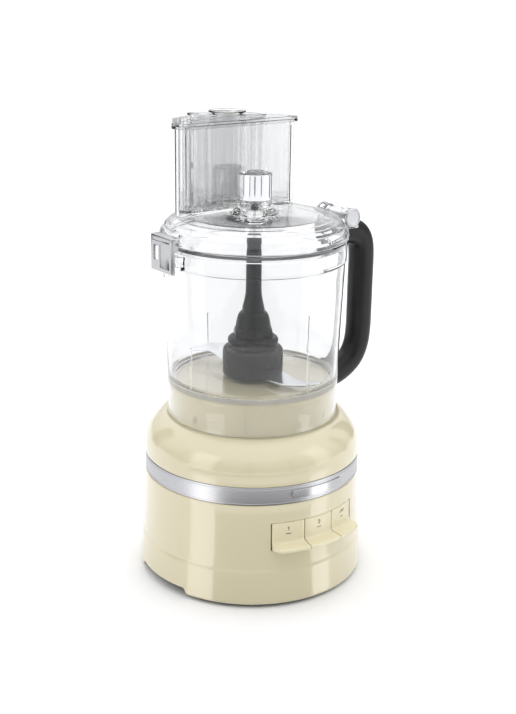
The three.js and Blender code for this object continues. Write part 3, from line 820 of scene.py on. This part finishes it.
def makeHinge():
    x, z, half, room = hinge["x"], hinge["z"], hinge["half"], hinge["pinRoom"]
    saddle = boxPiece("hinge_saddle", (92, -half, 326.9), (112, half, 330), 0.6)
    parts = []
    for y0, y1 in ((-half, -12.4), (12.4, half)):
        parts.append(turnedAlong(f"ear_{y0}", [(0, y0), (8.6, y0, 0.6), (8.6, y1, 0.6), (0, y1)],
                                 (x, 0, z), (0, 1, 0)))
        parts.append(boxPiece(f"ear_foot_{y0}", (94.2, y0 + 0.1, 327.2), (109.8, y1 - 0.1, z), 0.4))
    fused(saddle, *parts)
    hole = turnedAlong("pin_room", [(0, -40), (room, -40), (room, 40), (0, 40)], (x, 0, z), (0, 1, 0))
    cut(saddle, hole)
    finishPiece(saddle, "bowl", "clear", bowlClear, "hinge_bracket")
    pin = turnedAlong("hinge_rod", [(0, -half), (2.6, -half), (3, -half + 0.4), (3, half - 0.4),
                                    (2.6, half), (0, half)],
                      (x, 0, z), (0, 1, 0))
    finishPiece(pin, "bowl", "steel", plainSteel, "hinge_pin")
    for side, name in ((-1, "front"), (1, "rear")):
        face = half + 0.35
        profile = [(0, face), (9.0, face, 0.3), (9.4, face + 0.6, 0.4), (9.4, face + 2.2, 0.5),
                   (8.7, face + 3.2, 0.5),
                   (7.6, face + 3.2, 0.3), (7.2, face + 2.6, 0.3), (0, face + 2.9)]
        cap = turnedAlong(f"hinge_button_{name}", profile, (x, 0, z), (0, side, 0), 64)
        finishPiece(cap, "bowl", "chrome", capMetal, f"hinge_cap_{name}")


makeBowl()
makeHandle()
makeHinge()
print("food processor: bowl done")


# ------- blade set

def makeBladeSet():
    hub = turned("blade_drum", [
        (16.7, 194.6), (27.4, 194.6, 0.5), (28.6, 195.6, 0.5), (29, 197, 0.5), (29, 217.8, 1.2),
        (28.4, 220.2, 1.4), (26.6, 222.0, 1.2), (24.4, 222.9, 0.8), (22.8, 223.2, 0.4),
        (22.6, 225.9, 0.3), (16.7, 225.9),
    ], 112)
    slots = []
    for k in range(2):  # where the blades come out of the drum
        angle = -168 + 180 * k
        slots.append(sector(f"blade_slot_{k}", angle - 26, angle + 26, 28.2, 30,
                            (196.4, 204.4)[k], (201, 215.2)[k], 12))
    cut(hub, *slots)
    finishPiece(hub, "blade", "black", hubBlack, "blade_hub")

    collar = turned("collar_dome", [
        (13.95, 226.3), (23.2, 226.3, 0.4), (24.1, 227.4, 0.5), (24.2, 229.6, 0.8), (23.2, 231.2, 0.8),
        (21.4, 232.2, 0.6), (20.6, 233.4, 0.5), (19.8, 236.5), (18.4, 239.4, 0.8), (17.0, 241.4, 1.0),
        (16.4, 245), (15.6, 249.6), (14.4, 253.4), (12.8, 255.8, 0.8), (11.35, 256.3, 0.3),
        (11.35, 253), (13.95, 250),
    ], 120)
    facets = []
    for k in range(6):
        a = math.radians(30 + 60 * k)
        plane = boxPiece(f"facet_{k}", (17.6, -16, 232.3), (40, 16, 241))
        plane.data.transform(Matrix.Translation(toFrame((0, 0, 0))) @ Matrix.Rotation(a, 4, "Z")
                             @ Matrix.Translation(-toFrame((0, 0, 0))))
        facets.append(plane)
    cut(collar, *facets)
    finishPiece(collar, "blade", "black", hubBlack, "lock_collar")

    stem = turned("tall_stem", [
        (0, 246), (5.35, 246), (5.35, 224), (12.9, 222), (12.9, 197, 0.3), (16.2, 197, 0.3),
        (16.2, 225.8, 0.3), (13.55, 226), (13.55, 249.6), (10.95, 252), (10.9, 256, 1),
        (10.3, 261.5, 2), (8.9, 267, 3), (7.9, 272, 3), (7.5, 279, 3), (7.3, 300), (7.1, 323, 1.2),
        (6.2, 325.4, 0.6), (4.6, 326, 0.4), (0, 326),
    ], 80)
    finishPiece(stem, "blade", "black", hubBlack, "drive_adapter")

    pin = turned("stem_rod", [(0, 326.3), (2, 326.3), (2, 327.5, 0.5), (1.4, 329, 0.5), (1.4, 352),
                              (0, 352)], 32)
    finishPiece(pin, "blade", "steel", bladeSteel, "stem_pin")
    tip = turned("stem_tip", [(0, 352.3), (2.8, 352.3, 0.4), (3.35, 353.0, 0.4), (3.35, 357.4, 0.8),
                              (2.6, 358.5, 0.6),
                              (0, 358.6)], 48)
    finishPiece(tip, "blade", "black", hubBlack, "stem_cap")


def makeBlade(name, node, height, tilt, turn, twist):
    # a sickle: outline points from the drum out to the tip, and back along the cutting edge
    spine = [(26.5, -12.6), (36, -14.8), (46, -15.2), (56, -12.6), (64.6, -7.2), (71, 0.4), (74.4, 8.6)]
    edge = [(26.5, 12.4), (36, 9.2), (46, 5.8), (54, 4.6), (60.4, 5.8), (66.2, 9.4), (73.4, 13.6)]
    rings = []
    steps = 36
    smoothSpine = smoothPath([(x, y, 0) for x, y in spine], steps + 1)
    smoothEdge = smoothPath([(x, y, 0) for x, y in edge], steps + 1)
    for a, b in zip(smoothSpine, smoothEdge):
        across = b - a
        width = across.length
        ground = min(7.0, width * 0.45)  # the bevel ground along the edge
        section = []
        for along, z in ((0, 0.3), (0.4, 0), (width - 0.12, 0.75), (width - 0.02, 0.9),
                         (width - 0.12, 1.05),
                         (width - ground, 1.8), (0.4, 1.8), (0, 1.5)):
            section.append(a + across.normalized() * along + Vector((0, 0, z)))
        rings.append(section)
    placed = []
    for i, ring in enumerate(rings):
        t = i / steps
        row = []
        for p in ring:
            q = Vector(p)
            lean = tilt + twist * t
            q = Matrix.Rotation(lean, 3, "X") @ q
            q += Vector((0, 0, height))
            q = Matrix.Rotation(turn, 3, "Z") @ q
            row.append(tuple(q))
        placed.append(row)
    blade = loft(name, placed, 25)
    room = turned("drum_room", [(0, 185), (28.35, 185), (28.35, 240), (0, 240)], 96)
    cut(blade, room)
    finishPiece(blade, "blade", "steel", bladeSteel, node)


makeBladeSet()
makeBlade("sickle_lower", "blade_lower", 197.4, 0.06, math.radians(-78), 0.0)
makeBlade("sickle_upper", "blade_upper", 206.0, -0.25, math.radians(102), 0.0)
print("food processor: blade set done")


# ------- lid with chute

lid = {
    "chuteTop": 430.6,
    "chuteWall": 2.6,
    "flange": 3.0,
    "front": 19.5,  # the chute's flat front wall
    "halfFront": 56.4,  # centres of its two front corners
    "corner": 10.0,
    "back": 80.0,  # radius of its back wall, about the spindle
    "turret": 16.3,
}

latch = {"outer": -103.4, "half": 17, "bottom": 308, "top": 341, "pinX": -95.6, "pinZ": 335}


def hull(points):
    ordered = sorted(set((round(x, 5), round(y, 5)) for x, y in points))

    def half(run):
        kept = []
        for p in run:
            while len(kept) > 1:
                (ax, ay), (bx, by) = kept[-2], kept[-1]
                if (bx - ax) * (p[1] - ay) - (by - ay) * (p[0] - ax) > 1e-7:
                    break
                kept.pop()
            kept.append(p)
        return kept[:-1]

    return half(ordered) + half(ordered[::-1])


def chuteOutline(grow):
    half, corner, back = lid["halfFront"], lid["corner"], lid["back"]
    y = lid["front"] + corner
    points = []
    for x, y, r, start, end, steps in ((-half, y, corner, 150, 270, 16), (half, y, corner, -90, 30, 16),
                                       (0, 0, back, 58, 122, 60)):
        for i in range(steps + 1):
            a = math.radians(start + (end - start) * i / steps)
            points.append((x + (r + grow) * math.cos(a), y + (r + grow) * math.sin(a)))
    return hull(points)


def fluted(outline, pitch, depth):
    # the same outline with shallow upright flutes pressed into it
    closed = [Vector(p) for p in outline] + [Vector(outline[0])]
    made, walked = [], 0.0
    for a, b in zip(closed, closed[1:]):
        length = (b - a).length
        inward = Vector((-(b - a).y, (b - a).x)).normalized()
        pieces = max(1, round(length / (pitch / 8)))
        for k in range(pieces):
            t = k / pieces
            wave = 0.5 - 0.5 * math.cos(2 * math.pi * (walked + length * t) / pitch)
            made.append(tuple(a.lerp(b, t) + inward * depth * wave))
        walked += length
    return made


def chuteSolid(name, grow, bottom, top):
    return prism(name, chuteOutline(grow), bottom, top)


def makeLid():
    dome = turned("clear_cover", [
        (0, 384), (9.2, 384, 0.4), (9.2, 346.8, 0.6), (22, 346.4, 1), (64, 346.8, 4), (72, 345.4, 3),
        (77, 342.6, 3), (80.2, 338, 2), (80.4, 322, 0.4), (82.9, 321.6, 0.5), (83, 329.6),
        (84, 329.55, 0.2), (88.0, 329.55, 0.4), (88.3, 330.4, 0.4), (88.3, 333.2, 0.6),
        (87.6, 335.6, 1), (85.9, 338.4, 1), (83.0, 342.4, 1), (79, 346.0, 2), (73.4, 348.7, 3),
        (65, 349.9, 3), (22, 350.3, 1.0), (20.4, 351.6, 0.5), (20.0, 353.4, 0.5), (17.2, 354.4, 0.6),
        (16.5, 356, 0.6), (16.4, 359.2, 0.3), (17.0, 359.8, 0.3), (17.0, 361.2, 0.3),
        (16.4, 361.8, 0.3), (16.3, 363.0, 0.3), (14.2, 363.2), (14.2, 387.8, 0.6), (13.6, 388.4, 0.4),
        (0, 388.4),
    ], 224, smoothAngle=28)
    tube = chuteSolid("chute_tube", 0, 346.8, lid["chuteTop"])
    brim = eased(chuteSolid("chute_brim", lid["flange"], lid["chuteTop"] - 2.6, lid["chuteTop"]),
                 0.7, 2, 60)
    latchArm = boxPiece("latch_arm", (-96, -9, 331), (-84, 9, 334), 0.5)
    latchPin, hingePin, along = (latch["pinX"], 0, latch["pinZ"]), (hinge["x"], 0, hinge["z"]), (0, 1, 0)
    latchEye = turnedAlong("latch_eye", [(0, -9), (3.3, -9, 0.4), (3.3, 9, 0.4), (0, 9)], latchPin, along)
    hingeArm = boxPiece("hinge_arm", (84, -11.6, 330.2), (102, 11.6, 334), 0.5)
    hingeEye = turnedAlong("hinge_eye", [(0, -11.6), (7.6, -11.6, 0.8), (7.6, 11.6, 0.8), (0, 11.6)],
                           hingePin, along)
    fused(dome, tube, brim, latchArm, latchEye, hingeArm, hingeEye)
    inside = chuteSolid("chute_inside", -lid["chuteWall"], 330, lid["chuteTop"] + 5)
    grooves = []
    for side in (-1, 1):  # a sharp crease where the flat front meets each round end
        x, y = side * lid["halfFront"], lid["front"]
        grooves.append(prism(f"crease_{side}", [(x - 1.6, y - 1), (x + 1.6, y - 1), (x, y + 1.5)],
                             352, 425))
    hingeHole = turnedAlong("hinge_hole", [(0, -20), (3.5, -20), (3.5, 20), (0, 20)], hingePin, along)
    latchHole = turnedAlong("latch_hole", [(0, -20), (1.7, -20), (1.7, 20), (0, 20)], latchPin, along)
    cut(dome, inside, hingeHole, latchHole, *grooves)
    finishPiece(dome, "lid", "clear", lidClear, "clear_lid")

    seal = turned("cover_seal", [(83.1, 324.9), (83.7, 324.8, 0.2), (83.9, 325.4, 0.3), (83.9, 326.2, 0.3),
                                 (83.1, 326.8)], 160)
    finishPiece(seal, "lid", "silicone", sealGrey, "lid_seal")
    r = lid["turret"]
    sleeve = turned("chrome_sleeve", [(r - 1.7, 363.6), (r - 0.3, 363.6, 0.2), (r, 364.2, 0.3),
                                      (r, 386.6, 0.5),
                                      (r - 0.5, 387.4, 0.3), (r - 1.7, 387.4)], 96)
    finishPiece(sleeve, "lid", "chrome", chrome, "turret_sleeve")
    bush = turned("turret_liner", [(7.6, 352.7), (8.8, 352.7), (8.8, 361.9), (7.6, 361.9)], 64)
    finishPiece(bush, "lid", "clear", pusherClear, "turret_bush")


def makeLatch():
    outer, half, bottom, top = latch["outer"], latch["half"], latch["bottom"], latch["top"]
    pinLine, along = (latch["pinX"], 0, latch["pinZ"]), (0, 1, 0)
    shell = boxPiece("latch_plate", (outer, -half, bottom), (-93.4, half, top), 1.8, 4)
    pocket = boxPiece("latch_pocket", (-101.0, 2.4 - half, bottom - 2), (-90, half - 2.4, top - 2.2), 0.8)
    trim = boxPiece("latch_trim", (-99.6, -half - 1, bottom - 2), (-90, half + 1, 329))
    cut(shell, pocket, trim)
    nose = boxPiece("latch_nose", (-101.4, -10, 313), (-93.9, 10, 316.6), 0.6)
    fused(shell, nose)
    slot = boxPiece("latch_window", (-110, 4, 318), (-99, 12, 332), 1.5, 3)
    panels = [boxPiece(f"latch_panel_{k}", (outer - 1, y0, z0), (outer + 0.5, y1, z1), 0.3)
              for k, (y0, y1, z0, z1) in enumerate(((-13.6, 1.6, 312, 333.4), (-13.6, 13.6, 335.4, 338.2)))]
    pinRoom = turnedAlong("latch_pin_room", [(0, -30), (1.8, -30), (1.8, 30), (0, 30)], pinLine, along)
    cut(shell, slot, pinRoom, *panels)
    finishPiece(shell, "latch", "brushed", latchSilver, "latch_lever")
    pin = turnedAlong("latch_rod", [(0, -half), (1.1, -half), (1.4, 0.3 - half), (1.4, half - 0.3),
                                    (1.1, half), (0, half)],
                      pinLine, along)
    finishPiece(pin, "lid", "steel", plainSteel, "latch_pin")


makeLid()
makeLatch()
print("food processor: lid done")


# ------- pushers

pushers = {
    "bottom": 352,
    "inset": 3.4,  # from the chute's outside to the wide pusher's outside
    "wideTop": 432.6,
    "ovalX": 40, "ovalY": 19,  # half sizes of the oval well
    "rimX": 43, "rimY": 22,
    "rise": 0.0535,  # the oval rim climbs towards the left, where fingers lift it
    "cupY": 44, "cup": 14.4,
    "cupTop": 440,
    "flutePitch": 7.2, "fluteDepth": 0.55,
}


def ovalOutline(grow, count=72):
    rx, ry = pushers["ovalX"] + grow, pushers["ovalY"] + grow
    return [(rx * math.cos(2 * math.pi * k / count),
             pushers["cupY"] + ry * math.sin(2 * math.pi * k / count))
            for k in range(count)]


def climbing(piece):
    # leans the heights so that the right end stays where it is
    for v in piece.data.vertices:
        across = (v.co.x - spindle.x) / mm
        v.co.z += (pushers["ovalX"] + 2 - across) * pushers["rise"] * mm
    return piece


def makePushers():
    bottom, inset, top = pushers["bottom"], -pushers["inset"], pushers["wideTop"]
    pitch, depth = pushers["flutePitch"], pushers["fluteDepth"]
    wide = prism("wide_body", fluted(chuteOutline(inset), pitch, depth), bottom, top - 1)
    brim = eased(chuteSolid("wide_brim", lid["flange"], lid["chuteTop"] + 0.35, top), 0.5, 2, 60)
    fused(wide, brim)
    hollow = prism("wide_hollow", fluted(chuteOutline(inset - 2.6), pitch * 1.3, -depth), bottom + 2.4, 450)
    cut(wide, hollow)
    fused(wide, prism("wide_well", ovalOutline(2.2), bottom, top))
    cut(wide, prism("wide_well_hole", ovalOutline(0), 340, 450))
    finishPiece(wide, "wide_pusher", "clear", pusherClear, "pusher_wide")

    oval = prism("oval_body", fluted(ovalOutline(-0.5), pitch * 0.8, depth * 0.6), bottom, top + 1)
    collar = climbing(prism("oval_collar", ovalOutline(-0.5), top - 6, top + 1.4))
    rimGrow = pushers["rimX"] - pushers["ovalX"]
    brim = climbing(eased(prism("oval_brim", ovalOutline(rimGrow), top + 0.35, top + 2), 0.5, 2, 60))
    fused(oval, collar, brim)
    cut(oval, prism("oval_hollow", ovalOutline(-2.9), bottom + 2.4, 450))
    y, r = pushers["cupY"], pushers["cup"]
    fused(oval, turned("oval_well", [(0, bottom), (r + 2.8, bottom), (r + 2.8, top + 3), (0, top + 3)],
                       64, (0, y)))
    cut(oval, turned("oval_well_hole", [(0, 340), (r + 0.6, 340), (r + 0.6, 450), (0, 450)], 64, (0, y)))
    finishPiece(oval, "oval_pusher", "clear", pusherClear, "pusher_oval")

    high = pushers["cupTop"]
    cup = turned("round_cup", [
        (0, bottom), (r - 0.6, bottom, 0.6), (r, bottom + 0.8, 0.5), (r, high - 1.9),
        (17.2, high - 1.9, 0.3), (17.75, high - 1.2, 0.4), (17.4, high - 0.1, 0.3), (15.0, high, 0.4),
        (12.9, high - 1.5, 0.8), (12.2, high - 4, 1), (12.2, bottom + 3.4, 1.5),
        (10.6, bottom + 2.4, 1), (0, bottom + 2.4),
    ], 80, (0, y))
    finishPiece(cup, "round_pusher", "clear", pusherClear, "pusher_round")

    # a short fill line moulded on the cup's front, with two finer ones under it
    lines = []
    for height, degrees in ((405, 26), (401.4, 13), (397.8, 13)):
        lines.append(fillLine(height, degrees, r))
    finishPiece(joinedMesh("fill_lines", lines), "round_pusher", "silicone", sealGrey)


def fillLine(height, degrees, radius):
    # a thin raised bar that follows the cup's wall
    start, steps = 14, 8
    outline = []
    for reach, order in ((radius + 0.18, 1), (radius - 0.25, -1)):
        angles = [start + degrees * k / steps for k in range(steps + 1)][::order]
        outline += [(reach * math.sin(math.radians(a)), pushers["cupY"] - reach * math.cos(math.radians(a)))
                    for a in angles]
    return prism(f"line_{height}", outline, height, height + 0.5)


makePushers()
print("food processor: pushers done")


# ------- drive parts that the base hides

def dress(material, *names):
    for name in names:
        mesh = nodes[name].data
        mesh.materials.clear()
        mesh.materials.append(material)


spindleRod = turned("spindle_rod", [(0, 84), (5, 84), (5, 240.6, 0.5), (3.8, 243, 0.6), (0, 243)], 48)
finishPiece(spindleRod, "spindle", "steel", plainSteel, "spindle_shaft")
dress(plainSteel, "motor_plate", "motor_rotor", "bearing_lower", "bearing_upper", "cover_screw_1",
      "cover_screw_2",
      "cover_screw_3", "cover_screw_4")
dress(satinMetal, "bearing_housing")
dress(darkPlastic, "switch_low", "switch_high", "switch_pulse", "cord_gland", "motor_pulley",
      "spindle_pulley",
      "interlock_switch")
dress(footRubber, "drive_belt")
dress(copper, "motor_stator")
dress(boardGreen, "switch_board")
print("food processor: drive dressed")


# ------- studio

viewAzimuth = -37.5  # degrees; the camera stands in front, on the latch's side


def emitter(name, size, place, target, power, color=(1, 1, 1)):
    data = bpy.data.lights.new(name, "AREA")
    data.shape = "RECTANGLE"
    data.size, data.size_y = size
    data.energy = power
    data.color = color
    light = bpy.data.objects.new(name, data)
    light.location = place
    light.rotation_mode = "QUATERNION"
    light.rotation_quaternion = (Vector(target) - Vector(place)).to_track_quat("-Z", "Y")
    bpy.context.scene.collection.objects.link(light)
    return light


def litOnlyInGloss(name, verts, faces, material):
    # a flat shape that nothing but a glossy reflection sees
    mesh = bpy.data.meshes.new(name)
    mesh.from_pydata(verts, [], faces)
    mesh.materials.append(material)
    shape = bpy.data.objects.new(name, mesh)
    bpy.context.scene.collection.objects.link(shape)
    for unseen in ("camera", "diffuse", "transmission", "shadow", "volume_scatter"):
        setattr(shape, f"visible_{unseen}", False)


def makeStudio():
    azimuth = math.radians(viewAzimuth)
    right = Vector((math.cos(azimuth), math.sin(azimuth), 0))
    towards = Vector((math.sin(azimuth), -math.cos(azimuth), 0))  # from the object to the camera
    middle = Vector((spindle.x, spindle.y, 0.2))

    def around(degrees, distance, height):
        a = math.radians(degrees)
        spot = middle + (towards * math.cos(a) + right * math.sin(a)) * distance
        spot.z = height
        return spot

    # two upright strips that only show as highlights, so that the dome alone sets the soft shading
    for name, size, place, power in (("left_strip", (0.82, 1.5), around(-52, 1.7, 0.75), 6),
                                     ("right_strip", (0.6, 1.5), around(78, 1.6, 0.75), 3.5)):
        emitter(name, size, place, middle, power).visible_diffuse = False

    # two broad side lights shape the base: brighter flanks, calmer front
    for name, place, power in (("left_side", around(-98, 1.5, 0.7), 2),
                               ("right_side", around(100, 1.5, 0.7), 2.5)):
        emitter(name, (1.1, 1.3), place, middle, power).visible_glossy = False

    # patches of floor that only gloss surfaces pick up: a bright one on each side of the base's front,
    # and a dark one whose reflection keeps the front of the bowl clear
    patches = {"glow_left": (-33, -19, 0, 0.4, 2.4), "glow_right": (33.5, 44.4, 0, 0.4, 2.4),
               "calm_front": (-32, 32, 0.6, 1.2, 0), "calm_base": (-18.5, 33, 0, 0.235, 0)}
    startRadius, lift, steps = 0.112, 0.0004, 12
    for name, (start, end, near, far, strength) in patches.items():
        patchMaterial, _, shader = newMaterial(name)
        shader.inputs["Base Color"].default_value = (0.02, 0.02, 0.02, 1)
        shader.inputs["Emission Color"].default_value = (1, 1, 1, 1)
        shader.inputs["Emission Strength"].default_value = strength
        verts = []
        for i in range(steps + 1):
            a = math.radians(start + (end - start) * i / steps)
            foot = middle + (towards * math.cos(a) + right * math.sin(a)) * startRadius
            away = towards * math.cos(2 * a) + right * math.sin(2 * a)
            for reach in (near, far):
                spot = foot + away * reach
                verts.append((spot.x, spot.y, lift))
        faces = [(2 * i, 2 * i + 1, 2 * i + 3, 2 * i + 2) for i in range(steps)]
        litOnlyInGloss(name, verts, faces, patchMaterial)

    # black cards out of view, which draw the dark lines in chrome and clear walls
    cards = {"height": 1.3, "distance": 1.75,
             "places": [(-76, 0.16), (-33, 0.14), (0, 0.2), (42, 0.16), (112, 0.3), (138, 0.4),
                        (-120, 0.5)]}
    cardBlack = blackPlastic("cardBlack", (0.02, 0.02, 0.02), (0.8, 0.9), 0.05, 200)
    for k, (degrees, width) in enumerate(cards["places"]):
        foot = around(degrees, cards["distance"], 0)
        side = Vector((-(foot - middle).y, (foot - middle).x, 0)).normalized() * width / 2
        up = Vector((0, 0, cards["height"]))
        corners = [foot - side, foot + side, foot + side + up, foot - side + up]
        litOnlyInGloss(f"card_{k}", corners, [(0, 1, 2, 3)], cardBlack)

    # a pale dome, dimmer near the horizon so that clear edges read against it
    world = bpy.data.worlds.new("studio")
    world.use_nodes = True
    tree = world.node_tree
    background = tree.nodes["Background"]
    coords = tree.nodes.new("ShaderNodeTexCoord")
    split = tree.nodes.new("ShaderNodeSeparateXYZ")
    tree.links.new(coords.outputs["Generated"], split.inputs["Vector"])
    sky = spread(tree, split.outputs["Z"], 0.07, 1.72, 0, 1)
    behind = tree.nodes.new("ShaderNodeVectorMath")  # a brighter backdrop on the far side of the object
    behind.operation = "DOT_PRODUCT"
    tree.links.new(coords.outputs["Generated"], behind.inputs[0])
    behind.inputs[1].default_value = -towards
    both = tree.nodes.new("ShaderNodeMath")
    tree.links.new(sky, both.inputs[0])
    tree.links.new(spread(tree, behind.outputs["Value"], 0, 0.55, 0, 1), both.inputs[1])
    seen = tree.nodes.new("ShaderNodeLightPath")  # the horizon itself stays white in any view
    strength = tree.nodes.new("ShaderNodeMath")
    strength.operation = "MAXIMUM"
    tree.links.new(both.outputs["Value"], strength.inputs[0])
    tree.links.new(seen.outputs["Is Camera Ray"], strength.inputs[1])
    tree.links.new(strength.outputs["Value"], background.inputs["Strength"])
    background.inputs["Color"].default_value = (0.98, 0.985, 1, 1)
    bpy.context.scene.world = world

    bpy.ops.mesh.primitive_circle_add(vertices=96, radius=40, fill_type="TRIFAN", location=(0, 0, -0.0001))
    floor = bpy.context.object
    floor.name = "studio_floor"
    material, tree, shader = newMaterial("paleFloor")
    tree.links.new(twoColors(tree, spread(tree, noise(tree, 3, 2), 0, 1), (0.93, 0.93, 0.93),
                             (0.91, 0.91, 0.915)),
                   shader.inputs["Base Color"])
    shader.inputs["Roughness"].default_value = 0.55
    shader.inputs["Specular IOR Level"].default_value = 0
    floor.data.materials.append(material)


def makeCamera():
    view = {"distance": 1.09306, "height": 0.56402, "pitch": 0.313, "roll": 0.014, "side": 0.005,
            "lens": 60.29}
    azimuth = math.radians(viewAzimuth)
    right = Vector((math.cos(azimuth), math.sin(azimuth), 0))
    forward = Vector((-math.sin(azimuth), math.cos(azimuth), 0))
    ahead = forward * math.cos(view["pitch"]) - Vector((0, 0, 1)) * math.sin(view["pitch"])
    up = right.cross(ahead)
    sideways = right * math.cos(view["roll"]) + up * math.sin(view["roll"])
    upwards = sideways.cross(ahead)
    data = bpy.data.cameras.new("camera")
    data.lens = view["lens"]
    data.sensor_width = 36
    camera = bpy.data.objects.new("camera", data)
    place = Vector((spindle.x, spindle.y, 0)) - forward * view["distance"] + right * view["side"]
    place.z = view["height"]
    rotation = Matrix((sideways, upwards, -ahead)).transposed().to_4x4()
    camera.matrix_world = Matrix.Translation(place) @ rotation
    bpy.context.scene.collection.objects.link(camera)
    bpy.context.scene.camera = camera


makeStudio()
makeCamera()

scene = bpy.context.scene
scene.view_settings.view_transform = "Standard"
scene.view_settings.look = "None"
scene.cycles.max_bounces = 40
scene.cycles.transmission_bounces = 40
scene.cycles.glossy_bounces = 8
scene.cycles.transparent_max_bounces = 40
scene.cycles.sample_clamp_indirect = 6
scene.cycles.use_denoising = True
print("food processor: studio done")
